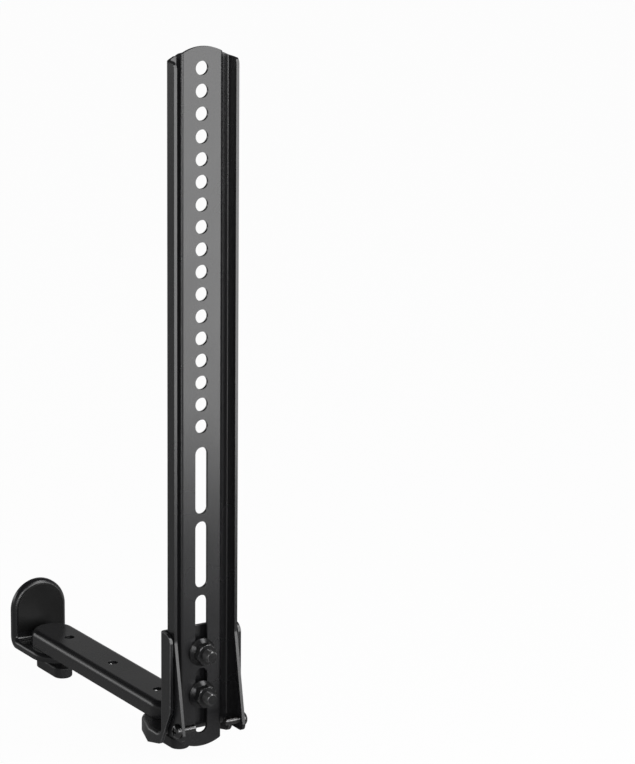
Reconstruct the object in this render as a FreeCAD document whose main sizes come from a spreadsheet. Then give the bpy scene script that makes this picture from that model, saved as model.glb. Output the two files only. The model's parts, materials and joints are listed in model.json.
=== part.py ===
"""Soundbar bracket: an upright rail, a sliding angle bracket, an arm and an adjustable end stop.

Frame: +X to the right seen from behind, +Y forward along the arm, +Z up, in millimetres.
Every piece is drawn with Z = 0 at the lowest point of the rail, then lifted so that the origin
lies in the middle of the rail's row of round holes, on the rear face of its web.
"""
import FreeCAD, Part

import os
import re

import Sketcher

SIZES = {
    # Rail: one bent sheet with a web that stands behind its two floors
    "rail_sheet": 2.0,
    "rail_length": 446.4,
    "web_width": 28.2,
    "joggle_rise": 3.3,
    "joggle_run": 2.0,
    "lip_reach": 5.7,
    "crease_bend": 0.5,
    "lip_bend": 1.2,
    "dome_rise": 3.7,
    "shoulder_drop": 5.4,
    "shoulder_cut_width": 5.7,
    "shoulder_cut_drop": 2.8,
    "lip_corner": 4.5,
    "floor_end": 17.0,
    "ear_start": 74.0,
    "ear_reach": 17.0,
    "ear_end": 10.6,
    "ear_corner": 4.0,
    "ear_blend": 12.0,
    # Holes and slots of the rail
    "hole_clearance": 0.8,
    "hole_pitch": 14.0,
    "top_margin": 13.24,
    "slot_bridge": 4.8,
    "slot_pitch": 48.0,
    "slot_count": 4,
    "slot_margin": 8.7,
    # Lock screws through the ears
    "screw_diameter": 5.0,
    "screw_length": 12.0,
    "screw_point_diameter": 3.5,
    "screw_point_length": 1.25,
    "screw_head_diameter": 9.6,
    "screw_head_height": 3.4,
    "screw_dome": 3.2,
    "screw_height": 17.2,
    "screw_setback": 10.6,
    "cross_width": 1.3,
    "cross_span": 5.0,
    "cross_depth": 1.6,
    # Angle bracket: one flanged sheet
    "angle_sheet": 2.3,
    "angle_width": 51.7,
    "angle_side_gap": 0.8,
    "plate_margin": 16.0,
    "angle_reach": 5.5,
    "angle_corner": 6.0,
    "angle_bend": 2.9,
    "angle_inner_bend": 5.0,
    "foot_top": 10.0,
    "foot_flange": 9.9,
    "foot_length": 44.3,
    "foot_taper_start": 15.4,
    "foot_taper_angle": 19.2,
    "nose_radius": 15.0,
    "heel_cut_height": 28.0,
    "heel_reach": 12.5,
    "heel_rise": 3.5,
    "heel_radius": 5.0,
    # Bolts and flange nuts that clamp the angle bracket to the rail
    "bolt_diameter": 8.0,
    "bolt_rise": 1.5,
    "bolt_spacing": 28.0,
    "bolt_tail": 14.0,
    "bolt_bevel": 1.0,
    "bolt_head_diameter": 17.0,
    "bolt_head_height": 4.0,
    "bolt_dome": 3.0,
    "neck_margin": 0.1,
    "nut_across_flats": 13.0,
    "nut_height": 8.0,
    "nut_flange_diameter": 17.9,
    "nut_flange_rim": 1.2,
    "nut_flange_height": 3.4,
    "nut_chamfer_angle": 30.0,
    "nut_turn": 8.0,
    # Arm: one pressed tray
    "arm_sheet": 2.0,
    "arm_width": 30.4,
    "arm_height": 11.0,
    "arm_length": 187.8,
    "arm_bend": 5.0,
    "arm_hole_diameter": 6.8,
    "arm_hole_pitch": 60.0,
    "arm_hole_count": 3,
    "arm_hole_start": 31.0,
    "swivel_reach": 31.7,
    "swivel_travel_out": 2.5,
    "swivel_travel_in": 9.5,
    # End stop: one flanged sheet with a rubber pad
    "stop_sheet": 2.3,
    "stop_width": 40.0,
    "stop_rim": 5.0,
    "stop_height": 40.0,
    "stop_gap": 4.6,
    "stop_bend": 2.9,
    "stop_inner_bend": 3.0,
    "stop_heel": 7.0,
    "stop_leg": 46.7,
    "stop_travel_out": 10.0,
    "stop_travel_in": 2.0,
    "pad_thickness": 0.8,
    "pad_inset": 2.6,
    "pad_edge": 0.35,
    # Knobs, studs, washers and weld nuts
    "knob_length": 36.0,
    "knob_width": 13.2,
    "knob_height": 7.6,
    "knob_edge": 1.4,
    "hub_diameter": 12.4,
    "hub_length": 8.4,
    "stud_diameter": 6.0,
    "stud_embed": 5.0,
    "stud_tip": 0.8,
    "washer_diameter": 14.0,
    "washer_thickness": 1.2,
    "weld_nut_across_flats": 10.0,
    "weld_nut_height": 5.0,
    # Clearances
    "thread_clearance": 0.05,
    "slot_clearance": 0.3,
    "slide_clearance": 0.1,
}

# Places worked out from the sizes, as expressions over the sheet
HOLE_WIDTH = "(bolt_diameter + hole_clearance)"
HOLE_HALF = f"({HOLE_WIDTH} / 2)"
HOLE_ROOM = "(rail_length - top_margin - slot_margin - slot_count * slot_pitch)"
HOLE_COUNT = f"(floor({HOLE_ROOM} / hole_pitch) + 1)"
LIFT = f"(hole_pitch * ({HOLE_COUNT} - 1) / 2 + top_margin - rail_length)"
WEB_HALF = "(web_width / 2)"
ANGLE_HALF = "(angle_width / 2)"
RAIL_HALF = f"({ANGLE_HALF} - angle_sheet - angle_side_gap)"
STEP_SLOPE = "(joggle_run / joggle_rise)"
STEP_SHIFT = f"(rail_sheet * (sqrt(1 + {STEP_SLOPE} ^ 2) - {STEP_SLOPE}))"
SHOULDER = f"({WEB_HALF} + joggle_run)"
FLOOR_FRONT = "(joggle_rise + rail_sheet)"
TOP_HOLE = "(rail_length - top_margin)"
SHOULDER_TOP = "(rail_length - shoulder_drop)"
LIP_TOP = f"({SHOULDER_TOP} - shoulder_cut_drop * (1 - rail_sheet / shoulder_cut_width))"
DOME_RADIUS = f"(({WEB_HALF} ^ 2 + dome_rise ^ 2) / (2 * dome_rise))"
PLATE_FRONT = f"({FLOOR_FRONT} + slide_clearance + angle_sheet)"
BOLT_UPPER = f"(slot_margin + slot_pitch + {HOLE_HALF} + bolt_rise)"
BOLT_LOWER = f"({BOLT_UPPER} - bolt_spacing)"
ANGLE_TOP = f"({BOLT_UPPER} + plate_margin)"
NECK_HALF = "(bolt_diameter / 2 + neck_margin)"
FOOT_END = f"({PLATE_FRONT} + foot_length)"
SWIVEL = f"({PLATE_FRONT} + swivel_reach)"
ARM_BASE = "(foot_top + slide_clearance)"
ARM_TOP = f"({ARM_BASE} + arm_height)"
ARM_HALF = "(arm_width / 2)"
ARM_REAR = f"({SWIVEL} - {ARM_HALF})"
ARM_FRONT = f"({ARM_REAR} + arm_length)"
STOP_FACE = f"({ARM_FRONT} + stop_gap)"
STOP_HALF = "(stop_width / 2)"
STOP_STUD = f"({ARM_FRONT} - {ARM_HALF})"
STUD_BORE = "(stud_diameter + 2 * thread_clearance)"
STUD_SLOT_HALF = "(stud_diameter / 2 + slot_clearance)"
SCREW_DOME = "min(screw_dome; 0.95 * screw_head_height)"
OVERCUT = "5"

doc = FreeCAD.newDocument("soundbar_bracket")
sheet = doc.addObject("Spreadsheet::Sheet", "Sizes")
for row, (alias, value) in enumerate(SIZES.items(), start=1):
    sheet.set(f"A{row}", alias)
    sheet.set(f"B{row}", str(value))
    sheet.setAlias(f"B{row}", alias)
doc.recompute()

NODES = []


def cell_of(word):
    return f"Sizes.{word}" if word in SIZES else word


def tie(expression):
    """The expression with each size's name pointed at its cell."""
    return re.sub(r"[a-z][a-z_]*", lambda word: cell_of(word.group()), expression)


def value_of(expression):
    """The expression's present value as a plain number."""
    return float(sheet.evalExpression(tie(expression)))


def bind(item, prop, expression):
    item.setExpression(prop, tie(expression))


def node(item, label, place=("0", "0", "0"), turn=FreeCAD.Rotation()):
    """Names a finished piece and puts it at its place in the part's frame."""
    item.Label = label
    item.Placement = FreeCAD.Placement(FreeCAD.Vector(), turn)
    bind(item, ".Placement.Base.x", place[0])
    bind(item, ".Placement.Base.y", place[1])
    bind(item, ".Placement.Base.z", f"{place[2]} + {LIFT}")
    NODES.append(item)


def new_body(name):
    return doc.addObject("PartDesign::Body", name)


def new_sketch(body, name, plane, offset="0"):
    """A sketch on one of the body's origin planes, moved along the plane's normal by offset."""
    sketch = body.newObject("Sketcher::SketchObject", name)
    support = next(item for item in body.Origin.OriginFeatures if item.Role == plane)
    sketch.AttachmentSupport = [(support, "")]
    sketch.MapMode = "FlatFace"
    bind(sketch, ".AttachmentOffset.Base.z", offset)
    return sketch


def vector(place):
    return FreeCAD.Vector(value_of(place[0]), value_of(place[1]), 0)


def pin(sketch, kind, geometry, point, expression):
    """Ties one coordinate of a sketch point to an expression."""
    constraint = Sketcher.Constraint(kind, -1, 1, geometry, point, value_of(expression))
    index = sketch.addConstraint(constraint)
    bind(sketch, f"Constraints[{index}]", expression)


def pin_point(sketch, geometry, point, place):
    pin(sketch, "DistanceX", geometry, point, place[0])
    pin(sketch, "DistanceY", geometry, point, place[1])


def join_ends(sketch, edges):
    """Joins each edge's end to the next edge's start, round a closed outline."""
    for edge, following in zip(edges, edges[1:] + edges[:1]):
        sketch.addConstraint(Sketcher.Constraint("Coincident", edge, 2, following, 1))


def add_polygon(sketch, corners):
    """A closed run of straight lines through corners, each tied to the sheet."""
    edges = []
    for corner, following in zip(corners, corners[1:] + corners[:1]):
        edges.append(sketch.addGeometry(Part.LineSegment(vector(corner), vector(following)), False))
    join_ends(sketch, edges)
    for edge, corner in zip(edges, corners):
        pin_point(sketch, edge, 1, corner)


def add_circle(sketch, centre, diameter):
    size = value_of(diameter)
    circle = Part.Circle(vector(centre), FreeCAD.Vector(0, 0, 1), size / 2)
    edge = sketch.addGeometry(circle, False)
    pin_point(sketch, edge, 3, centre)
    index = sketch.addConstraint(Sketcher.Constraint("Diameter", edge, size))
    bind(sketch, f"Constraints[{index}]", diameter)


def add_hexagon(sketch, across_flats, turn="0"):
    reach = f"({across_flats} / sqrt(3))"
    angles = [f"({turn} + {60 * index})" for index in range(6)]
    add_polygon(sketch, [(f"{reach} * cos({angle})", f"{reach} * sin({angle})") for angle in angles])


def add_band(sketch, start, end, half, caps):
    """A band along the sketch's second axis; caps tells which of its two ends are half-round.

    A half-round end bulges past its place by half the band's width.
    """
    corners = [(f"-{half}", start), (half, start), (half, end), (f"-{half}", end)]
    ends = {0: (start, -1, caps[0]), 2: (end, 1, caps[1])}
    edges = []
    for index, corner in enumerate(corners):
        begin, finish = vector(corner), vector(corners[(index + 1) % 4])
        place, side, capped = ends.get(index, (None, 0, False))
        if capped:
            tip = vector(("0", f"{place} + {side} * {half}"))
            edges.append(sketch.addGeometry(Part.Arc(begin, tip, finish), False))
        else:
            edges.append(sketch.addGeometry(Part.LineSegment(begin, finish), False))
    join_ends(sketch, edges)
    for index in (1, 3):
        pin_point(sketch, edges[index], 1, corners[index])
        pin_point(sketch, edges[index], 2, corners[(index + 1) % 4])
    for index, (place, _, capped) in ends.items():
        if capped:
            pin(sketch, "DistanceY", edges[index], 3, place)


def extrude(body, sketch, length, symmetric=False):
    pad = body.newObject("PartDesign::Pad", sketch.Name + "Pad")
    pad.Profile = sketch
    pad.SideType = "Symmetric" if symmetric else "One side"
    bind(pad, "Length", length)
    doc.recompute()
    return pad


def cut_through(body, sketch):
    """Cuts the sketch's outline through everything, both ways."""
    pocket = body.newObject("PartDesign::Pocket", sketch.Name + "Cut")
    pocket.Profile = sketch
    pocket.SideType = "Symmetric"
    pocket.Type = "ThroughAll"
    doc.recompute()
    return pocket


def cut_down(body, sketch, depth):
    """Cuts the sketch's outline to a depth, against the sketch's normal."""
    pocket = body.newObject("PartDesign::Pocket", sketch.Name + "Cut")
    pocket.Profile = sketch
    bind(pocket, "Length", depth)
    doc.recompute()
    return pocket


def turn_about_second_axis(body, sketch, kind="PartDesign::Revolution"):
    feature = body.newObject(kind, sketch.Name + "Turned")
    feature.Profile = sketch
    feature.ReferenceAxis = (sketch, ["V_Axis"])
    feature.Angle = 360
    doc.recompute()
    return feature


def repeat(body, feature, count, pitch, downwards=False):
    """Repeats a cut along its own sketch's second axis."""
    pattern = body.newObject("PartDesign::LinearPattern", feature.Name + "Row")
    pattern.Originals = [feature]
    pattern.Direction = (feature.Profile[0], ["V_Axis"])
    pattern.Reversed = downwards
    bind(pattern, "Length", f"{pitch} * ({count} - 1)")
    bind(pattern, "Occurrences", count)
    body.Tip = pattern
    doc.recompute()


def round_edges(body, name, radius, wanted):
    """Rounds each edge of the body's present tip that wanted picks."""
    tip = body.Tip
    picked = [f"Edge{index}" for index, edge in enumerate(tip.Shape.Edges, start=1) if wanted(edge)]
    fillet = body.newObject("PartDesign::Fillet", name)
    fillet.Base = (tip, picked)
    bind(fillet, "Radius", radius)
    doc.recompute()


def near(first, second):
    return abs(first - second) < 1e-4


def runs_along(edge, axis):
    """True where the edge is straight and lies along the given axis."""
    return isinstance(edge.Curve, Part.Line) and abs(getattr(edge.Curve.Direction, axis)) > 1 - 1e-6


def edge_along(axis, **places):
    """Picks straight edges along an axis; x is compared without its sign, so both sides count."""
    values = {name: value_of(expression) for name, expression in places.items()}

    def wanted(edge):
        middle = edge.CenterOfMass
        found = {"x": abs(middle.x), "y": middle.y, "z": middle.z}
        return runs_along(edge, axis) and all(near(found[name], value) for name, value in values.items())
    return wanted


def lies_in(axis, expression):
    """Picks edges that lie wholly in a plane across the axis."""
    value = value_of(expression)

    def wanted(edge):
        box = edge.BoundBox
        low, high = getattr(box, axis.upper() + "Min"), getattr(box, axis.upper() + "Max")
        return near(low, value) and near(high, value)
    return wanted


def hollow(name, outer, inner):
    """A sheet form: the outer form less the inner one."""
    item = doc.addObject("Part::Cut", name)
    item.Base = outer
    item.Tool = inner
    doc.recompute()
    return item


def mirrored(corners):
    """A right-hand outline turned over to the left."""
    return [(f"-{x}", y) for x, y in reversed(corners)]


def rail():
    """Channel with a raised web: its section in plan, run up the rail, bent, then trimmed and pierced."""
    body = new_body("RailBody")
    lip_inside = f"({RAIL_HALF} - rail_sheet)"
    right = [
        (WEB_HALF, "0"),
        (SHOULDER, "joggle_rise"),
        (lip_inside, "joggle_rise"),
        (lip_inside, "-ear_reach"),
        (RAIL_HALF, "-ear_reach"),
        (RAIL_HALF, FLOOR_FRONT),
        (f"({SHOULDER} - {STEP_SHIFT})", FLOOR_FRONT),
        (f"({WEB_HALF} - {STEP_SHIFT})", "rail_sheet"),
    ]
    section = new_sketch(body, "RailSection", "XY_Plane")
    add_polygon(section, right + mirrored(right))
    extrude(body, section, "rail_length")

    for name, bends, radius in (("RailCreases", (right[0], right[6]), "crease_bend + rail_sheet"),
                                ("RailInnerCreases", (right[1], right[7]), "crease_bend"),
                                ("LipBends", (right[5],), "lip_bend + rail_sheet"),
                                ("LipInnerBends", (right[2],), "lip_bend")):
        picks = [edge_along("z", x=x, y=y) for x, y in bends]
        round_edges(body, name, radius, lambda edge: any(pick(edge) for pick in picks))

    trim_rail_ends(body, lip_inside)
    trim_rail_lips(body)
    pierce_rail(body)
    node(body, "rail")


def add_arc_outline(sketch, begin, apex, finish, centre_height, path):
    """An arc drawn anticlockwise from begin to finish, closed by straight lines along path."""
    arc = Part.Arc(vector(begin), vector(apex), vector(finish))
    edges = [sketch.addGeometry(arc, False)]
    stations = [finish] + path + [begin]
    for station, following in zip(stations, stations[1:]):
        edges.append(sketch.addGeometry(Part.LineSegment(vector(station), vector(following)), False))
    join_ends(sketch, edges)
    for edge, station in zip(edges[1:], stations):
        pin_point(sketch, edge, 1, station)
    pin_point(sketch, edges[-1], 2, begin)
    pin(sketch, "DistanceY", edges[0], 3, centre_height)


def trim_rail_ends(body, lip_inside):
    """Domed web at both ends, with chamfered shoulders above and longer ears below."""
    above, below = f"(rail_length + {OVERCUT})", f"(-{OVERCUT})"
    outside = f"({RAIL_HALF} + {OVERCUT})"
    cut_start = f"({RAIL_HALF} - shoulder_cut_width)"
    cut_end = f"({SHOULDER_TOP} - shoulder_cut_drop)"
    left, right = f"-{WEB_HALF}", WEB_HALF
    top_corner, top_centre = "(rail_length - dome_rise)", f"(rail_length - {DOME_RADIUS})"
    ends = new_sketch(body, "RailDomes", "XZ_Plane")
    add_arc_outline(ends, (right, top_corner), ("0", "rail_length"), (left, top_corner), top_centre,
                    [(left, above), (right, above)])
    add_arc_outline(ends, (left, "dome_rise"), ("0", "0"), (right, "dome_rise"), DOME_RADIUS,
                    [(right, below), (left, below)])
    cut_through(body, ends)
    top = [(right, above), (right, top_corner), (SHOULDER, SHOULDER_TOP), (cut_start, SHOULDER_TOP),
           (RAIL_HALF, cut_end), (outside, cut_end), (outside, above)]
    bottom = [(right, below), (right, "floor_end"), (lip_inside, "floor_end"),
              (lip_inside, "ear_end"), (outside, "ear_end"), (outside, below)]
    sides = new_sketch(body, "RailShoulders", "XZ_Plane")
    for corners in (top, bottom):
        add_polygon(sides, corners)
        add_polygon(sides, mirrored(corners))
    cut_through(body, sides)


def trim_rail_lips(body):
    """Lips of even depth that flare into ears at the foot."""
    behind = f"(-ear_reach - {OVERCUT})"
    above = f"(rail_length + {OVERCUT})"
    edge_line = new_sketch(body, "RailLipEdge", "YZ_Plane")
    add_polygon(edge_line, [("-lip_reach", above), ("-lip_reach", "ear_start"), ("-ear_reach", "ear_end"),
                            (behind, "ear_end"), (behind, above)])
    cut_through(body, edge_line)
    round_edges(body, "EarBlend", "ear_blend", edge_along("x", y="-lip_reach", z="ear_start"))
    round_edges(body, "EarCorner", "ear_corner", edge_along("x", y="-ear_reach", z="ear_end"))
    corner_side, corner_base = "(lip_corner - lip_reach)", f"({LIP_TOP} - lip_corner)"
    halfway = (f"({corner_side} - lip_corner * cos(45))", f"({corner_base} + lip_corner * sin(45))")
    corner = new_sketch(body, "LipCorner", "YZ_Plane")
    add_arc_outline(corner, (corner_side, LIP_TOP), halfway, ("-lip_reach", corner_base), corner_base,
                    [(behind, corner_base), (behind, above), (corner_side, above)])
    cut_through(body, corner)


def pierce_rail(body):
    """Row of round holes, row of slots below it, and the screw holes across the ears."""
    hole = new_sketch(body, "RailHole", "XZ_Plane")
    add_circle(hole, ("0", TOP_HOLE), HOLE_WIDTH)
    repeat(body, cut_through(body, hole), HOLE_COUNT, "hole_pitch", downwards=True)
    slot = new_sketch(body, "RailSlot", "XZ_Plane")
    low, high = f"(slot_margin + {HOLE_HALF})", f"(slot_margin + slot_pitch - slot_bridge - {HOLE_HALF})"
    add_band(slot, low, high, HOLE_HALF, (True, True))
    repeat(body, cut_through(body, slot), "slot_count", "slot_pitch")
    screw_hole = new_sketch(body, "EarHole", "YZ_Plane")
    add_circle(screw_hole, ("-screw_setback", "screw_height"), "(screw_diameter + 2 * thread_clearance)")
    cut_through(body, screw_hole)


def lock_screw(label, side):
    """Pan-head screw, drawn with its axis along Y and its head's seat at the origin."""
    body = new_body(label.title().replace("_", ""))
    half_shank, half_head = "(screw_diameter / 2)", "(screw_head_diameter / 2)"
    profile = new_sketch(body, label + "_profile", "XY_Plane")
    add_polygon(profile, [("0", "-screw_length"), ("(screw_point_diameter / 2)", "-screw_length"),
                          (half_shank, "(screw_point_length - screw_length)"),
                          (half_shank, "0"), (half_head, "0"), (half_head, "screw_head_height"),
                          ("0", "screw_head_height")])
    turn_about_second_axis(body, profile)
    round_edges(body, label + "_dome", SCREW_DOME, lies_in("y", "screw_head_height"))
    cross = new_sketch(body, label + "_cross", "XZ_Plane", "cross_depth - screw_head_height")
    across, along = "(cross_width / 2)", "(cross_span / 2)"
    add_polygon(cross, [(across, along), (across, across), (along, across), (along, f"-{across}"),
                        (across, f"-{across}"), (across, f"-{along}"), (f"-{across}", f"-{along}"),
                        (f"-{across}", f"-{across}"), (f"-{along}", f"-{across}"), (f"-{along}", across),
                        (f"-{across}", across), (f"-{across}", along)])
    cut_down(body, cross, "cross_depth")
    turn = FreeCAD.Rotation(FreeCAD.Vector(0, 1, 0), FreeCAD.Vector(side, 0, 0))
    node(body, label, (f"{side} * {RAIL_HALF}", "-screw_setback", "screw_height"), turn)


def angle_form(name, profile, inset):
    """Solid form of the angle bracket, drawn in by inset at its sides and nose."""
    body = new_body(name)
    half = f"({ANGLE_HALF} - {inset})"
    taper_start = f"({PLATE_FRONT} + foot_taper_start - {inset} * tan(foot_taper_angle / 2))"
    end = f"({FOOT_END} - {inset})"
    nose_half = f"({half} - ({end} - {taper_start}) * tan(foot_taper_angle))"
    side = new_sketch(body, name + "Side", "YZ_Plane")
    add_polygon(side, profile)
    extrude(body, side, f"2 * {half}", symmetric=True)
    outside, beyond = f"({half} + {OVERCUT})", f"({end} + {OVERCUT})"
    corners = [(half, taper_start), (nose_half, end), (nose_half, beyond), (outside, beyond),
               (outside, taper_start)]
    taper = new_sketch(body, name + "Taper", "XY_Plane")
    add_polygon(taper, corners)
    add_polygon(taper, mirrored(corners))
    cut_through(body, taper)
    round_edges(body, name + "Nose", f"nose_radius - {inset}", edge_along("z", x=nose_half, y=end))
    front, top = f"({PLATE_FRONT} - {inset})", f"(foot_top - {inset})"
    round_edges(body, name + "Corner", f"angle_inner_bend + {inset}", edge_along("x", y=front, z=top))
    in_plate, in_foot = lies_in("y", front), lies_in("z", top)
    half_value, end_value = value_of(half), value_of(end)
    bend = value_of(f"angle_inner_bend + {inset}")

    def rim(edge):
        middle = edge.CenterOfMass
        if isinstance(edge.Curve, Part.Circle) and near(edge.Curve.Radius, bend):
            return near(abs(middle.x), half_value)
        if runs_along(edge, "x"):
            return in_foot(edge) and near(middle.y, end_value)
        return in_foot(edge) or (in_plate(edge) and runs_along(edge, "z"))
    round_edges(body, name + "Rim", f"angle_bend - {inset}", rim)
    return body


def angle_bracket():
    """Flanged sheet: plate up the rail's front, foot forward under the arm, flanges behind and below."""
    foot_under = "(foot_top - foot_flange)"
    heel_front, heel_under = "(heel_reach - angle_reach)", f"({foot_under} + heel_rise)"
    outer_side = [("-angle_reach", ANGLE_TOP), ("-angle_reach", "heel_cut_height"),
                  (heel_front, heel_under),
                  (f"({PLATE_FRONT} + foot_taper_start)", foot_under), (FOOT_END, foot_under),
                  (FOOT_END, "foot_top"), (PLATE_FRONT, "foot_top"), (PLATE_FRONT, ANGLE_TOP)]
    inner_front, inner_top = f"({PLATE_FRONT} - angle_sheet)", "(foot_top - angle_sheet)"
    inner_end = f"({FOOT_END} - angle_sheet)"
    behind, below = f"(-angle_reach - {OVERCUT})", f"({foot_under} - {OVERCUT})"
    above = f"({ANGLE_TOP} + {OVERCUT})"
    inner_side = [(behind, above), (behind, below), (inner_end, below), (inner_end, inner_top),
                  (inner_front, inner_top), (inner_front, above)]
    outer = angle_form("AngleOuter", outer_side, "0")
    round_edges(outer, "AngleTopCorner", "angle_corner", edge_along("x", y="-angle_reach", z=ANGLE_TOP))
    round_edges(outer, "AngleHeel", "heel_radius",
                edge_along("x", y="-angle_reach", z="heel_cut_height"))
    round_edges(outer, "AngleHeelFront", "heel_radius", edge_along("x", y=heel_front, z=heel_under))
    square = new_sketch(outer, "BoltSquares", "XZ_Plane")
    half = f"({NECK_HALF} + slide_clearance)"
    for centre in (BOLT_LOWER, BOLT_UPPER):
        low, high = f"({centre} - {half})", f"({centre} + {half})"
        add_polygon(square, [(f"-{half}", low), (half, low), (half, high), (f"-{half}", high)])
    cut_through(outer, square)
    slot = new_sketch(outer, "FootSlot", "XY_Plane")
    rear, front = f"({SWIVEL} - swivel_travel_in)", f"({SWIVEL} + swivel_travel_out)"
    add_band(slot, rear, front, STUD_SLOT_HALF, (True, True))
    cut_through(outer, slot)
    inner = angle_form("AngleInner", inner_side, "angle_sheet")
    node(hollow("AngleSheet", outer, inner), "angle_bracket")


def clamp_bolt(label, height):
    """Round-head bolt with a square neck; the origin is on its axis, at the web's rear face."""
    body = new_body(label.title().replace("_", ""))
    half_shank, half_head = "(bolt_diameter / 2)", "(bolt_head_diameter / 2)"
    head_end = f"({PLATE_FRONT} + bolt_head_height)"
    profile = new_sketch(body, label + "_profile", "XY_Plane")
    add_polygon(profile, [("0", "-bolt_tail"), (f"({half_shank} - bolt_bevel)", "-bolt_tail"),
                          (half_shank, "(bolt_bevel - bolt_tail)"), (half_shank, PLATE_FRONT),
                          (half_head, PLATE_FRONT), (half_head, head_end), ("0", head_end)])
    turn_about_second_axis(body, profile)
    round_edges(body, label + "_dome", "bolt_dome", lies_in("y", head_end))
    low, high = f"-{NECK_HALF}", NECK_HALF
    neck = new_sketch(body, label + "_neck", "XZ_Plane", f"-{PLATE_FRONT}")
    add_polygon(neck, [(low, low), (high, low), (high, high), (low, high)])
    extrude(body, neck, "angle_sheet")
    node(body, label, ("0", "0", height))


def flange_nut(label, height):
    """Hexagon nut with a coned flange; the origin is the centre of its seat."""
    body = new_body(label.title().replace("_", ""))
    hexagon = new_sketch(body, label + "_hexagon", "XZ_Plane")
    add_hexagon(hexagon, "nut_across_flats", "nut_turn")
    extrude(body, hexagon, "nut_height")
    flat, point = "(nut_across_flats / 2)", "(nut_across_flats / sqrt(3))"
    rim = "(nut_flange_diameter / 2)"
    over = f"({point} + {OVERCUT})"
    chamfer = new_sketch(body, label + "_chamfer", "XY_Plane")
    add_polygon(chamfer, [(flat, "-nut_height"), (over, "-nut_height"),
                          (over, f"(({over} - {flat}) * tan(nut_chamfer_angle) - nut_height)")])
    turn_about_second_axis(body, chamfer, "PartDesign::Groove")
    flange = new_sketch(body, label + "_flange", "XY_Plane")
    add_polygon(flange, [("0", "0"), (rim, "0"), (rim, "-nut_flange_rim"), (flat, "-nut_flange_height"),
                         ("0", "-nut_flange_height")])
    turn_about_second_axis(body, flange)
    bore = new_sketch(body, label + "_bore", "XZ_Plane")
    add_circle(bore, ("0", "0"), "(bolt_diameter + 2 * thread_clearance)")
    cut_through(body, bore)
    node(body, label, ("0", "0", height))


def arm_form(name, base, inset):
    """Solid form of the arm, drawn in by inset, with an end rounded about each stud."""
    body = new_body(name)
    half, top = f"({ARM_HALF} - {inset})", f"({ARM_TOP} - {inset})"
    plan = new_sketch(body, name + "Plan", "XY_Plane", base)
    add_band(plan, SWIVEL, STOP_STUD, half, (True, True))
    extrude(body, plan, f"{top} - {base}")
    round_edges(body, name + "Rim", f"arm_bend - {inset}", lies_in("z", top))
    return body


def arm():
    """Pressed tray, open below, with a row of fixing holes in its top."""
    outer = arm_form("ArmOuter", ARM_BASE, "0")
    hole = new_sketch(outer, "ArmHole", "XY_Plane")
    add_circle(hole, ("0", f"({ARM_REAR} + arm_hole_start)"), "arm_hole_diameter")
    repeat(outer, cut_through(outer, hole), "arm_hole_count", "arm_hole_pitch")
    inner = arm_form("ArmInner", f"({ARM_BASE} - {OVERCUT})", "arm_sheet")
    node(hollow("ArmSheet", outer, inner), "arm")


def stop_form(name, low, far, inset):
    """Solid form of the end stop, drawn in by inset: leg below the arm and tab in front of it."""
    body = new_body(name)
    half, top = f"({STOP_HALF} - {inset})", f"(foot_top - {inset})"
    face = f"({STOP_FACE} + {inset})"
    leg_centre = f"({STOP_FACE} - stop_leg + {STOP_HALF})"
    tab_centre = f"(foot_top + stop_height - {STOP_HALF})"
    leg = new_sketch(body, name + "Leg", "XY_Plane", low)
    add_band(leg, leg_centre, far, half, (True, False))
    extrude(body, leg, f"{top} - {low}")
    tab = new_sketch(body, name + "Tab", "XZ_Plane", f"-{far}")
    add_band(tab, low, tab_centre, half, (False, True))
    extrude(body, tab, f"{far} - {face}")
    bend_radius = f"(stop_inner_bend + {inset})"
    round_edges(body, name + "Bend", bend_radius, edge_along("x", y=face, z=top))
    in_leg, in_tab = lies_in("z", top), lies_in("y", face)
    bend, half_value = value_of(bend_radius), value_of(half)

    def rim(edge):
        if isinstance(edge.Curve, Part.Circle) and near(edge.Curve.Radius, bend):
            return near(abs(edge.CenterOfMass.x), half_value)
        return not runs_along(edge, "x") and (in_leg(edge) or in_tab(edge))
    round_edges(body, name + "Rim", f"stop_bend - {inset}", rim)
    return body


def end_stop():
    """Flanged sheet with a slot for its stud."""
    low, far = "(foot_top - stop_rim)", f"({STOP_FACE} + stop_rim)"
    outer = stop_form("StopOuter", low, far, "0")
    round_edges(outer, "StopHeel", "stop_heel", edge_along("x", y=far, z=low))
    slot = new_sketch(outer, "StopSlot", "XY_Plane")
    rear, front = f"({STOP_STUD} - stop_travel_out)", f"({STOP_STUD} + stop_travel_in)"
    add_band(slot, rear, front, STUD_SLOT_HALF, (True, True))
    cut_through(outer, slot)
    inner = stop_form("StopInner", f"({low} - {OVERCUT})", f"({far} + {OVERCUT})", "stop_sheet")
    node(hollow("StopSheet", outer, inner), "end_stop")


def stop_pad():
    """Rubber pad with a soft edge on the rear face of the tab."""
    body = new_body("StopPad")
    plan = new_sketch(body, "PadPlan", "XZ_Plane", f"-{STOP_FACE}")
    add_band(plan, "(foot_top + stop_inner_bend + pad_inset)", f"(foot_top + stop_height - {STOP_HALF})",
             f"({STOP_HALF} - pad_inset)", (False, True))
    extrude(body, plan, "pad_thickness")
    round_edges(body, "PadEdge", "pad_edge", lies_in("y", f"({STOP_FACE} - pad_thickness)"))
    node(body, "stop_pad")


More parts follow.
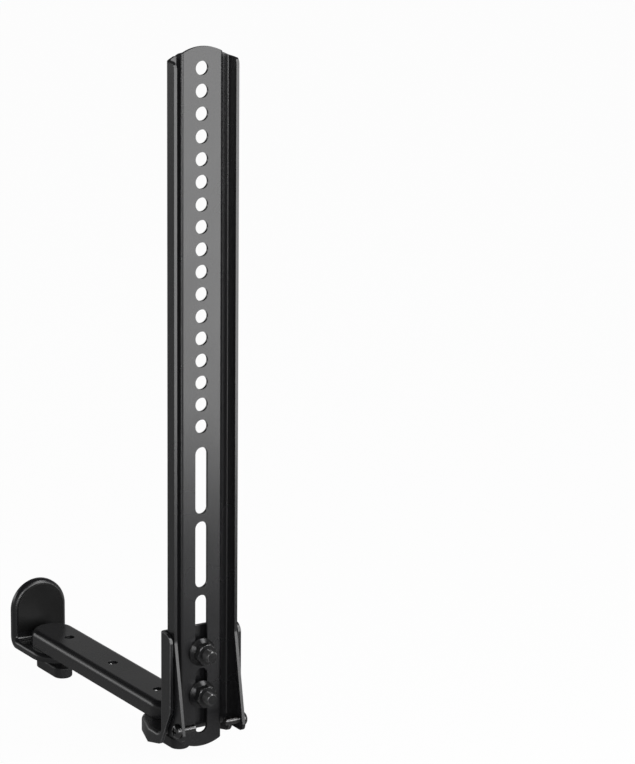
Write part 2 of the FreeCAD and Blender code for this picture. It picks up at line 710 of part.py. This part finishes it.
def knob(label, place):
    """Bar knob on a round hub; the origin is on its axis, at the underside of the clamped sheet."""
    body = new_body(label.title().replace("_", ""))
    hub_top = "(-washer_thickness)"
    bar_top = "(-washer_thickness - hub_length)"
    cap = "((knob_length - knob_width) / 2)"
    bar = new_sketch(body, label + "_bar", "XY_Plane", f"{bar_top} - knob_height")
    add_band(bar, f"-{cap}", cap, "(knob_width / 2)", (True, True))
    extrude(body, bar, "knob_height")
    in_top, in_bottom = lies_in("z", bar_top), lies_in("z", f"({bar_top} - knob_height)")
    round_edges(body, label + "_edges", "knob_edge", lambda edge: in_top(edge) or in_bottom(edge))
    hub = new_sketch(body, label + "_hub", "XY_Plane", f"{bar_top} - knob_edge")
    add_circle(hub, ("0", "0"), "hub_diameter")
    extrude(body, hub, "hub_length + knob_edge")
    bore = new_sketch(body, label + "_bore", "XY_Plane", hub_top)
    add_circle(bore, ("0", "0"), STUD_BORE)
    cut_down(body, bore, "hub_length + stud_embed")
    node(body, label, place)


def stud(label, place, reach):
    """Threaded stud from inside the knob up into its weld nut."""
    body = new_body(label.title().replace("_", ""))
    foot = "(-washer_thickness - hub_length - stud_embed)"
    half = "(stud_diameter / 2)"
    profile = new_sketch(body, label + "_profile", "XZ_Plane")
    add_polygon(profile, [("0", foot), (half, foot), (half, f"({reach} - stud_tip)"),
                          (f"({half} - stud_tip)", reach), ("0", reach)])
    turn_about_second_axis(body, profile)
    node(body, label, place)


def washer(label, place):
    body = new_body(label.title().replace("_", ""))
    ring = new_sketch(body, label + "_ring", "XY_Plane", "-washer_thickness")
    add_circle(ring, ("0", "0"), "washer_diameter")
    add_circle(ring, ("0", "0"), f"(2 * {STUD_SLOT_HALF})")
    extrude(body, ring, "washer_thickness")
    node(body, label, place)


def weld_nut(label, place):
    """Hexagon nut whose upper face is welded under the arm's top."""
    body = new_body(label.title().replace("_", ""))
    hexagon = new_sketch(body, label + "_hexagon", "XY_Plane", "-weld_nut_height")
    add_hexagon(hexagon, "weld_nut_across_flats")
    add_circle(hexagon, ("0", "0"), STUD_BORE)
    extrude(body, hexagon, "weld_nut_height")
    node(body, label, place)


def clamp(name, along, sheet_underside):
    """The knob, stud, washer and weld nut at one end of the arm."""
    seat = ("0", along, sheet_underside)
    arm_underside = f"({ARM_TOP} - arm_sheet)"
    knob(f"{name}_knob", seat)
    stud(f"{name}_stud", seat, f"({arm_underside} - {sheet_underside} - stud_tip)")
    washer(f"{name}_washer", seat)
    weld_nut(f"{name}_weld_nut", ("0", along, arm_underside))


def check_document():
    """Stops the macro where any object failed or any finished piece is not one sound solid."""
    for item in doc.Objects:
        if "Invalid" in item.State or "Error" in item.State:
            raise RuntimeError(f"{item.Label} failed: {item.State}")
    for item in NODES:
        shape = item.Shape
        if shape.isNull() or not shape.isValid() or len(shape.Solids) != 1:
            raise RuntimeError(f"{item.Label} is not one sound solid")


def write_parts():
    os.makedirs("parts", exist_ok=True)
    for item in NODES:
        item.Shape.exportStep(f"parts/{item.Label}.step")
        print(f"{item.Label}: {item.Shape.Volume:.1f} cubic mm")


rail()
lock_screw("lock_screw_left", -1)
lock_screw("lock_screw_right", 1)
angle_bracket()
for position, level in (("lower", BOLT_LOWER), ("upper", BOLT_UPPER)):
    clamp_bolt(f"clamp_bolt_{position}", level)
    flange_nut(f"flange_nut_{position}", level)
arm()
end_stop()
stop_pad()
clamp("swivel", SWIVEL, "(foot_top - angle_sheet)")
clamp("stop", STOP_STUD, "(foot_top - stop_sheet)")
doc.recompute()
check_document()
write_parts()
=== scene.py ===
# %% [markdown]
# # A soundbar bracket in Blender
#
# The bracket hangs a soundbar under a screen: an upright rail of bent sheet, an angle bracket that
# slides on the rail's foot, an arm that reaches forward under the soundbar, and a padded stop at the
# arm's end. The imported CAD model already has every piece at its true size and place. This lesson adds
# what CAD leaves out: soft sheet edges, cut threads, finishes, lamps and a camera.

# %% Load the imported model
import json
from math import pi, radians

import bmesh
import bpy
from mathutils import Euler, Matrix, Vector


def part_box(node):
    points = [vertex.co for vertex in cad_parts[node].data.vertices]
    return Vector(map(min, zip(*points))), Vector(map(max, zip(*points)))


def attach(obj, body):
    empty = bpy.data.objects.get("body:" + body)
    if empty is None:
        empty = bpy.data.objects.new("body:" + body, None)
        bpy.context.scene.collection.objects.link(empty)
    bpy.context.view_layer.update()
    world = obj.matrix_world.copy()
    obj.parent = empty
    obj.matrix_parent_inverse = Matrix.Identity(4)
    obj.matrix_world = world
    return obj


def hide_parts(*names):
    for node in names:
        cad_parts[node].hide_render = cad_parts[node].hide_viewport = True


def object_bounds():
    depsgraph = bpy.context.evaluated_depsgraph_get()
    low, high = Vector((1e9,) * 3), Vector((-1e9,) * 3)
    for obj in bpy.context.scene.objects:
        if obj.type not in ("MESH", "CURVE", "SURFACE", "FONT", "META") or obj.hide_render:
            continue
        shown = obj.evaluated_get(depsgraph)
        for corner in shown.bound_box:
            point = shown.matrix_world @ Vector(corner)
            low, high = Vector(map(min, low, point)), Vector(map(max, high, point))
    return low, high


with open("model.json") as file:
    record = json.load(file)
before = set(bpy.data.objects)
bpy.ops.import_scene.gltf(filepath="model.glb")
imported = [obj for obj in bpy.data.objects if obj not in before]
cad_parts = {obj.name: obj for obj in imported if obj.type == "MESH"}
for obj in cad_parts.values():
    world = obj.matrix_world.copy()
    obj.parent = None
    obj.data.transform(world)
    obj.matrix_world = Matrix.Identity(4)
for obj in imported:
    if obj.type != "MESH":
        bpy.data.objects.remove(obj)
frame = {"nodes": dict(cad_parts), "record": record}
cad_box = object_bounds()
nodes = frame["nodes"]
bodies = frame["record"]["behaviour"]["bodies"]
body_of = {node: body for body, members in bodies.items() for node in members}
scene = bpy.context.scene
scene.view_settings.view_transform = "Standard"
MM = 0.001

# %% [markdown]
# ## Camera
#
# The photograph was taken from behind and to the left, a little above the rail, with a long lens. A
# long lens keeps the rail's sides nearly parallel. The place and turn were fitted to the row of holes
# and to the arm's edges, and a touch of roll keeps the rail upright.

# %% Make the camera
camera_data = bpy.data.cameras.new("camera")
camera_data.lens = 173.26
camera_data.sensor_width = 36
camera_data.clip_end = 50
camera = bpy.data.objects.new("camera", camera_data)
camera.location = (-1.10495, -1.89184, 0.49251)
look_down, look_right, roll = radians(14.7211), radians(32.1521), radians(0.5529)
facing = Euler((pi / 2 - look_down, 0, -look_right)).to_matrix() @ Matrix.Rotation(roll, 3, "Z")
camera.rotation_euler = facing.to_euler()
scene.collection.objects.link(camera)
scene.camera = camera
print("camera stands", round(camera.location.length, 2), "m from the row of holes")

# %% [markdown]
# ## Floor
#
# The ground is plain and pale. A disc is enough for it: it lies just below the knobs and takes their
# soft shadow.

# %% Make the floor
FLOOR_DROP = 0.4 * MM
FLOOR_RADIUS, FLOOR_SIDES = 9, 96
floor_height = cad_box[0].z - FLOOR_DROP
floor_mesh = bpy.data.meshes.new("floor")
bm = bmesh.new()
bmesh.ops.create_circle(bm, cap_ends=True, segments=FLOOR_SIDES, radius=FLOOR_RADIUS)
bmesh.ops.translate(bm, vec=(0, 0, floor_height), verts=bm.verts)
bm.to_mesh(floor_mesh)
bm.free()
floor = bpy.data.objects.new("floor", floor_mesh)
scene.collection.objects.link(floor)
print("floor lies at", round(floor_height, 4), "m")

# %% [markdown]
# ## White ground and background
#
# The photograph's ground is pure white, yet the bracket on it is black. Enough light to burn the floor
# white would also fill every dark fold, so the floor and the world glow by themselves instead. A Light
# Path node tells who is looking: the camera sees plain white, a reflection sees a darker studio with a
# pool of light on the floor at the front, and scattered light finds lit paper and a dim room.


# %% Helpers for node trees
def calculated(tree, operation, *sources):
    """A Math node's result; each source is a socket or a plain number."""
    item = tree.nodes.new("ShaderNodeMath")
    item.operation = operation
    for socket, source in zip(item.inputs, sources):
        if isinstance(source, bpy.types.NodeSocket):
            tree.links.new(source, socket)
        else:
            socket.default_value = source
    return item.outputs["Value"]


def mapped(tree, source, old_span, new_span, blend="LINEAR"):
    """The source stretched from the old span to the new one, and held within it."""
    item = tree.nodes.new("ShaderNodeMapRange")
    item.interpolation_type = blend
    for name, value in zip(("From Min", "From Max", "To Min", "To Max"), (*old_span, *new_span)):
        item.inputs[name].default_value = value
    tree.links.new(source, item.inputs["Value"])
    return item.outputs["Result"]


def seen_level(tree, path, in_gloss):
    """A level of 1 where the camera looks straight on, and of in_gloss in reflections."""
    seen = path.outputs
    direct = calculated(tree, "MAXIMUM", seen["Is Camera Ray"], seen["Is Transmission Ray"])
    return calculated(tree, "MULTIPLY_ADD", seen["Is Glossy Ray"], in_gloss, direct)


# %% Paint the floor
FLOOR_IN_GLOSS, FRONT_FLOOR_IN_GLOSS = 0.2, 0.7
POOL_TOWARDS, POOL_EDGE = (2, 1, 0), (0.3, 0.8)
GLOW_SHARE = 0.97
paper = bpy.data.materials.new("white_paper")
paper.use_nodes = True
tree = paper.node_tree
lit = tree.nodes["Principled BSDF"]
lit.inputs["Base Color"].default_value = (0.82, 0.82, 0.82, 1)
lit.inputs["Roughness"].default_value = 0.9
lit.inputs["Specular IOR Level"].default_value = 0.1
path = tree.nodes.new("ShaderNodeLightPath")
place = tree.nodes.new("ShaderNodeTexCoord")
frontward = tree.nodes.new("ShaderNodeVectorMath")
frontward.operation = "DOT_PRODUCT"
frontward.inputs[1].default_value = POOL_TOWARDS
tree.links.new(place.outputs["Object"], frontward.inputs[0])
pool = mapped(tree, frontward.outputs["Value"], POOL_EDGE, (FLOOR_IN_GLOSS, FRONT_FLOOR_IN_GLOSS))
glow = tree.nodes.new("ShaderNodeEmission")
tree.links.new(seen_level(tree, path, pool), glow.inputs["Strength"])
share = mapped(tree, path.outputs["Is Diffuse Ray"], (1, 0), (0, GLOW_SHARE))
mixed = tree.nodes.new("ShaderNodeMixShader")
tree.links.new(share, mixed.inputs["Fac"])
tree.links.new(lit.outputs[0], mixed.inputs[1])
tree.links.new(glow.outputs[0], mixed.inputs[2])
tree.links.new(mixed.outputs[0], tree.nodes["Material Output"].inputs["Surface"])
floor_mesh.materials.append(paper)
print("floor painted with", paper.name, "of", len(tree.nodes), "nodes")

# %% Light the world
WALL_IN_GLOSS, CEILING_IN_GLOSS = 0.3, 0.02
WALL_TOP = (0.3, 0.5)
ROOM_LIGHT = 0.25
world = bpy.data.worlds.new("studio")
world.use_nodes = True
scene.world = world
tree = world.node_tree
backdrop = tree.nodes["Background"]
backdrop.inputs["Color"].default_value = (1, 1, 1, 1)
path = tree.nodes.new("ShaderNodeLightPath")
direction = tree.nodes.new("ShaderNodeTexCoord")
upward = tree.nodes.new("ShaderNodeSeparateXYZ")
tree.links.new(direction.outputs["Generated"], upward.inputs[0])
wall = mapped(tree, upward.outputs["Z"], WALL_TOP, (WALL_IN_GLOSS, CEILING_IN_GLOSS), "SMOOTHSTEP")
seen = seen_level(tree, path, wall)
room = calculated(tree, "MULTIPLY_ADD", path.outputs["Is Diffuse Ray"], ROOM_LIGHT, seen)
tree.links.new(room, backdrop.inputs["Strength"])
print("world", world.name, "has", len(tree.nodes), "nodes")

# %% [markdown]
# ## Lamps
#
# Black sheet shows almost no colour of its own: what we see on it is the reflection of the lamps, so
# each lamp is set by the mirror rule, where the camera's line bounces off one face. The rail's web is
# light at the top and dark at the foot, because a soft lamp stands behind it and to the right, and the
# web's foot mirrors the floor below that lamp. A narrow lamp at the left draws the line along the
# rail's fold. A wide one in front draws the bands along the arm's side. The last two are for the
# fasteners: one near the camera for the threads and hexagon edges, one above for the nuts' flanges.


# %% Make the lamps
def soft_lamp(name, place, target, width, height, power):
    """An area lamp at a place, turned to its target and unseen by the camera."""
    data = bpy.data.lights.new(name, "AREA")
    data.shape = "RECTANGLE"
    data.size, data.size_y = width, height
    data.energy = power
    lamp = bpy.data.objects.new(name, data)
    lamp.location = place
    lamp.rotation_euler = (Vector(target) - Vector(place)).to_track_quat("-Z", "Y").to_euler()
    lamp.visible_camera = False
    scene.collection.objects.link(lamp)


soft_lamp("mirror_lamp", (0.36, -0.55, 0.05), (0, 0, 0.05), width=0.42, height=0.76, power=3.5)
soft_lamp("side_lamp", (-0.34, -0.366, -0.13), (0, 0, -0.13), width=0.05, height=0.36, power=0.36)
soft_lamp("front_lamp", (-1.05, 1.7, 0.12), (0, 0.1, -0.3), width=1.5, height=0.46, power=3.4)
soft_lamp("key_lamp", (-0.32, -1.08, 0.03), (0, 0, -0.28), width=0.42, height=0.3, power=3.4)
soft_lamp("top_lamp", (0.57, -0.5, 0.65), (0, 0, -0.28), width=0.45, height=0.45, power=3)

# %% [markdown]
# ## Finishes
#
# No surface is of one even colour. Each finish here is built from noise on Object coordinates, so it
# stays on the piece when the piece moves, and it needs no picture. Noises of different scales vary the
# colour, the roughness and the height of the surface.

# %% Helpers for the finishes
NOISE_MIDDLE = (0.3, 0.7)


def new_finish(name):
    """A new material, with its node tree and its shader."""
    material = bpy.data.materials.new(name)
    material.use_nodes = True
    return material, material.node_tree, material.node_tree.nodes["Principled BSDF"]


def noise(tree, scale, detail):
    """Noise on Object coordinates; scale is in features to the metre."""
    place = tree.nodes.get("Texture Coordinate") or tree.nodes.new("ShaderNodeTexCoord")
    item = tree.nodes.new("ShaderNodeTexNoise")
    item.inputs["Scale"].default_value = scale
    item.inputs["Detail"].default_value = detail
    tree.links.new(place.outputs["Object"], item.inputs["Vector"])
    return item.outputs["Fac"]


def spread(tree, source, low, high):
    """Stretches the middle of a noise to the span from low to high."""
    return mapped(tree, source, NOISE_MIDDLE, (low, high))


def shade(tree, source, dark, light):
    """A colour between dark and light, by the middle of a noise."""
    item = tree.nodes.new("ShaderNodeValToRGB")
    for stop, position, colour in zip(item.color_ramp.elements, NOISE_MIDDLE, (dark, light)):
        stop.position = position
        stop.color = (*colour, 1)
    tree.links.new(source, item.inputs["Fac"])
    return item.outputs["Color"]


def on_edges(tree, plain, edge):
    """The plain colour, or the edge colour on the faces that are marked as rounded."""
    flag = tree.nodes.new("ShaderNodeAttribute")
    flag.attribute_name = "rounded"
    item = tree.nodes.new("ShaderNodeMix")
    item.data_type = "RGBA"
    tree.links.new(flag.outputs["Fac"], item.inputs["Factor"])
    # A Mix node has its colours at inputs 6 and 7 and at output 2, after those for numbers and vectors.
    tree.links.new(plain, item.inputs[6])
    tree.links.new(edge, item.inputs[7])
    return item.outputs[2]


def bumped(tree, shader, height, depth, strength):
    """Gives the shader a fine relief by the height."""
    item = tree.nodes.new("ShaderNodeBump")
    item.inputs["Strength"].default_value = strength
    item.inputs["Distance"].default_value = depth
    tree.links.new(height, item.inputs["Height"])
    tree.links.new(item.outputs["Normal"], shader.inputs["Normal"])


# %% [markdown]
# ### Black powder coat
#
# The sheet pieces wear a satin coat of melted powder, with its fine orange peel. It is a little thinner
# where it wraps a cut edge, and the edges are painted lighter: partly for that thinner coat, partly as
# a painted highlight.

# %% Make the powder coat
powder_coat, tree, shader = new_finish("satin_powder_coat")
speckle = noise(tree, scale=2600, detail=3)
plain = shade(tree, speckle, dark=(0.007, 0.007, 0.008), light=(0.014, 0.014, 0.015))
# The edge colour is partly the thinner coat and partly a painted highlight along the edges.
thin_coat_and_highlight = noise(tree, scale=320, detail=3)
edge = shade(tree, thin_coat_and_highlight, dark=(0.05, 0.05, 0.051), light=(0.11, 0.11, 0.112))
tree.links.new(on_edges(tree, plain, edge), shader.inputs["Base Color"])
cloud = noise(tree, scale=26, detail=2)
tree.links.new(spread(tree, cloud, low=0.24, high=0.29), shader.inputs["Roughness"])
shader.inputs["Specular IOR Level"].default_value = 0.7
orange_peel = noise(tree, scale=900, detail=2)
bumped(tree, shader, orange_peel, depth=0.02 * MM, strength=0.2)
print(powder_coat.name, len(tree.nodes), "nodes")

# %% [markdown]
# ### Black zinc
#
# The bolts and nuts are zinc plated and blackened. The plating is a metal, so its colour tints what it
# mirrors, and its worn edges are brighter. The two lock screws are polished more, in a lighter tone.

# %% Make the zinc of the bolts and nuts
zinc, tree, shader = new_finish("dark_zinc")
stain = noise(tree, scale=420, detail=4)
tint = shade(tree, stain, dark=(0.035, 0.035, 0.037), light=(0.05, 0.05, 0.05))
wear = noise(tree, scale=900, detail=3)
bright = shade(tree, wear, dark=(0.6, 0.6, 0.605), light=(0.8, 0.795, 0.79))
tree.links.new(on_edges(tree, tint, bright), shader.inputs["Base Color"])
tree.links.new(spread(tree, stain, low=0.2, high=0.24), shader.inputs["Roughness"])
shader.inputs["Metallic"].default_value = 0.7
bumped(tree, shader, noise(tree, scale=1800, detail=3), depth=0.004 * MM, strength=0.2)
print(zinc.name, len(tree.nodes), "nodes")

# %% Make the zinc of the lock screws
polish, tree, shader = new_finish("polished_zinc")
stain = noise(tree, scale=500, detail=4)
tint = shade(tree, stain, dark=(0.09, 0.09, 0.095), light=(0.16, 0.158, 0.155))
wear = noise(tree, scale=900, detail=3)
bright = shade(tree, wear, dark=(0.3, 0.3, 0.3), light=(0.5, 0.49, 0.48))
tree.links.new(on_edges(tree, tint, bright), shader.inputs["Base Color"])
tree.links.new(spread(tree, stain, low=0.16, high=0.26), shader.inputs["Roughness"])
shader.inputs["Metallic"].default_value = 1
bumped(tree, shader, noise(tree, scale=1500, detail=3), depth=0.008 * MM, strength=0.3)
print(polish.name, len(tree.nodes), "nodes")

# %% [markdown]
# ### Plastic and rubber
#
# The knobs are moulded plastic with a fine grain, duller than the coat beside it. The stop's pad is
# rubber: darker still, with a paler rim along its edge, which is a painted highlight.

# %% Make the plastic
plastic, tree, shader = new_finish("moulded_plastic")
grain = noise(tree, scale=1500, detail=3)
plain = shade(tree, grain, dark=(0.012, 0.012, 0.013), light=(0.022, 0.022, 0.023))
tree.links.new(plain, shader.inputs["Base Color"])
cloud = noise(tree, scale=60, detail=2)
tree.links.new(spread(tree, cloud, low=0.4, high=0.5), shader.inputs["Roughness"])
bumped(tree, shader, grain, depth=0.03 * MM, strength=0.4)
print(plastic.name, len(tree.nodes), "nodes")

# %% Make the rubber
rubber, tree, shader = new_finish("pad_rubber")
grain = noise(tree, scale=2200, detail=4)
plain = shade(tree, grain, dark=(0.004, 0.004, 0.004), light=(0.008, 0.008, 0.008))
# The paler colour on the pad's edge faces is a painted highlight.
pad_rim_highlight_noise = noise(tree, scale=320, detail=3)
edge = shade(tree, pad_rim_highlight_noise, dark=(0.05, 0.05, 0.05), light=(0.09, 0.09, 0.09))
tree.links.new(on_edges(tree, plain, edge), shader.inputs["Base Color"])
cloud = noise(tree, scale=90, detail=2)
tree.links.new(spread(tree, cloud, low=0.3, high=0.38), shader.inputs["Roughness"])
shader.inputs["Specular IOR Level"].default_value = 0.3
bumped(tree, shader, grain, depth=0.02 * MM, strength=0.3)
print(rubber.name, len(tree.nodes), "nodes")

# %% [markdown]
# ## Sheet pieces
#
# The rail, the angle bracket, the arm and the end stop are punched and bent from sheet. CAD leaves
# their cut edges knife sharp, and a sharp edge catches no light. Each is copied, its loose triangles
# are merged into whole faces, and every sharp edge gets a small bevel, as tumbling and powder leave
# it. The faces that the bevel adds are marked, for the lighter colour on them: the thinner coat there
# and a painted highlight. Weighted normals keep the large faces flat beside them.

# %% Helpers for a dressed copy
FINISHES = {"black_powder_coat": powder_coat, "black_zinc": zinc, "black_plastic": plastic,
            "black_rubber": rubber}
MERGE_WITHIN = 0.002 * MM
FLAT_WITHIN = radians(0.3)
SMOOTH_UP_TO = radians(50)
SHARP_TURN = 30


def merged_copy(node):
    """A CAD piece's mesh with its loose triangles merged into whole faces."""
    bm = bmesh.new()
    bm.from_mesh(nodes[node].data)
    bmesh.ops.remove_doubles(bm, verts=bm.verts, dist=MERGE_WITHIN)
    bmesh.ops.dissolve_limit(bm, angle_limit=FLAT_WITHIN, verts=bm.verts, edges=bm.edges)
    return bm


def round_sharp(bm, edge_radius, turn=SHARP_TURN):
    """Bevels every edge that turns by more than the given degrees, and marks the new faces."""
    sharp = [edge for edge in bm.edges if edge.is_manifold and edge.calc_face_angle() > radians(turn)]
    flag = bm.faces.layers.float.new("rounded")
    added = bmesh.ops.bevel(bm, geom=sharp, offset=edge_radius, offset_type="OFFSET", affect="EDGES",
                            segments=2, profile=0.5, material=-1, clamp_overlap=True)
    for face in added["faces"]:
        face[flag] = 1


def stand_for(bm, node, finish):
    """Makes the mesh a piece that rides with the node's body and stands for the node."""
    for face in bm.faces:
        face.smooth = True
    mesh = bpy.data.meshes.new(node + "_dressed")
    bm.to_mesh(mesh)
    bm.free()
    mesh.set_sharp_from_angle(angle=SMOOTH_UP_TO)
    mesh.materials.append(finish)
    piece = bpy.data.objects.new(node + "_dressed", mesh)
    scene.collection.objects.link(piece)
    weighted = piece.modifiers.new("weighted_normals", "WEIGHTED_NORMAL")
    weighted.keep_sharp = True
    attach(piece, body_of[node])
    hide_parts(node)
    print(piece.name, len(mesh.polygons), "faces")


def dress(node, edge_radius, slot, turn=SHARP_TURN):
    """Replaces a node by its copy with rounded edges, in the finish of its slot."""
    bm = merged_copy(node)
    round_sharp(bm, edge_radius, turn)
    stand_for(bm, node, FINISHES[slot])


# %% Dress the sheet pieces
SHEET_EDGE = 0.3 * MM
for sheet_piece in ("rail", "angle_bracket", "arm", "end_stop"):
    dress(sheet_piece, SHEET_EDGE, "black_powder_coat")

# %% [markdown]
# ## Nuts, knobs and pad
#
# These are forged or moulded, so their edges are rounded too, each to its own radius. A nut's chamfers
# turn less than a sheet's cut edge does, so for nuts a smaller turn already counts as an edge.

# %% Dress the nuts, knobs and pad
NUT_EDGE, KNOB_EDGE, PAD_EDGE = 0.3 * MM, 0.4 * MM, 0.2 * MM
NUT_TURN = 20
for nut in ("flange_nut_lower", "flange_nut_upper"):
    dress(nut, NUT_EDGE, "black_zinc", NUT_TURN)
for knob in ("swivel_knob", "stop_knob"):
    dress(knob, KNOB_EDGE, "black_plastic")
dress("stop_pad", PAD_EDGE, "black_rubber")

# %% [markdown]
# ## Threads
#
# The bolts' tails stand out of the nuts, and the two screws cross the rail's channel, so their threads
# show. CAD keeps them as plain cylinders. A thread is one pitch of its outline, spun up a helix: each
# turn ends where the next begins, so merging the doubles closes it. It is then cut flat at both ends,
# its tip is ground to a cone, and it takes the place of the plain end of the shank.

# %% Helpers for a thread
STEPS_A_TURN = 24
SPARE_TURNS = 3
THREAD_DEPTH = 0.6
CREST_START, CREST_END = 0.42, 0.58
END_FACING = 0.95
THREAD_WEAR = 0.12
SHANK_EDGE = 0.15 * MM


def cut_beyond(bm, place, outwards):
    """Cuts away what lies beyond the plane at a place, on its outward side."""
    everything = bm.verts[:] + bm.edges[:] + bm.faces[:]
    bmesh.ops.bisect_plane(bm, geom=everything, plane_co=place, plane_no=outwards, clear_outer=True)


def close_ends(bm):
    """Fills the holes that a cut has left."""
    bmesh.ops.holes_fill(bm, edges=[edge for edge in bm.edges if edge.is_boundary], sides=0)


def spun_thread(length, diameter, pitch, cone):
    """A closed thread from the origin up, with its tip ground to a cone of that depth."""
    crest, root = diameter / 2, diameter / 2 - THREAD_DEPTH * pitch
    bm = bmesh.new()
    outline = [bm.verts.new((radius, 0, height * pitch - pitch))
               for radius, height in ((root, 0), (crest, CREST_START), (crest, CREST_END), (root, 1))]
    lines = [bm.edges.new(pair) for pair in zip(outline, outline[1:])]
    turns = int(length / pitch) + SPARE_TURNS
    bmesh.ops.spin(bm, geom=outline + lines, cent=(0, 0, 0), axis=(0, 0, 1), angle=2 * pi * turns,
                   steps=turns * STEPS_A_TURN, dvec=(0, 0, pitch / STEPS_A_TURN), use_merge=False)
    bmesh.ops.remove_doubles(bm, verts=bm.verts, dist=MERGE_WITHIN)
    cut_beyond(bm, (0, 0, 0), (0, 0, -1))
    cut_beyond(bm, (0, 0, length), (0, 0, 1))
    for vert in bm.verts:
        reach = crest - cone + (length - vert.co.z)
        if vert.co.xy.length > reach:
            vert.co.xy *= reach / vert.co.xy.length
    close_ends(bm)
    bmesh.ops.recalc_face_normals(bm, faces=bm.faces)
    flag = bm.faces.layers.float.new("rounded")
    for face in bm.faces:
        face[flag] = THREAD_WEAR if abs(face.normal.z) < END_FACING else 0
    return bm


def thread_shank(node, base, along, length, finish, **thread_sizes):
    """A dressed copy of a fastener whose plain shank beyond base is a thread."""
    bm = merged_copy(node)
    cut_beyond(bm, base, along)
    close_ends(bm)
    round_sharp(bm, SHANK_EDGE)
    thread = spun_thread(length, **thread_sizes)
    turn = Vector(along).to_track_quat("Z", "Y").to_matrix()
    bmesh.ops.rotate(thread, verts=thread.verts, cent=(0, 0, 0), matrix=turn)
    bmesh.ops.translate(thread, verts=thread.verts, vec=base)
    thread_mesh = bpy.data.meshes.new("thread")
    thread.to_mesh(thread_mesh)
    thread.free()
    bm.from_mesh(thread_mesh)
    bpy.data.meshes.remove(thread_mesh)
    stand_for(bm, node, finish)


# %% Thread the bolts
BOLT_THREAD = {"diameter": 8 * MM, "pitch": 1.25 * MM, "cone": 0.9 * MM}
NUT_MIDDLE = -6 * MM
for bolt in ("clamp_bolt_lower", "clamp_bolt_upper"):
    low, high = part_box(bolt)
    start = Vector(((low.x + high.x) / 2, NUT_MIDDLE, (low.z + high.z) / 2))
    thread_shank(bolt, start, (0, -1, 0), start.y - low.y, zinc, **BOLT_THREAD)

# %% Thread the lock screws
SCREW_THREAD = {"diameter": 5 * MM, "pitch": 0.8 * MM, "cone": 0.8 * MM}
SCREW_THREAD_LENGTH = 10.2 * MM
for screw, inwards in (("lock_screw_left", 1), ("lock_screw_right", -1)):
    low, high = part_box(screw)
    tip = high.x if inwards > 0 else low.x
    start = Vector((tip - inwards * SCREW_THREAD_LENGTH, (low.y + high.y) / 2, (low.z + high.z) / 2))
    thread_shank(screw, start, (inwards, 0, 0), SCREW_THREAD_LENGTH, polish, **SCREW_THREAD)

# %% [markdown]
# ## Hidden fasteners
#
# The studs stand in the knobs, the washers lie between a knob and the sheet above it, and the weld nuts
# sit inside the arm. Hardly any of them shows, so their CAD meshes stay as they are and only take the
# zinc.

# %% Finish the fasteners that stay as CAD made them
for node in nodes:
    if not nodes[node].hide_render:
        nodes[node].data.materials.clear()
        nodes[node].data.materials.append(zinc)
        print(node, "keeps its CAD form")
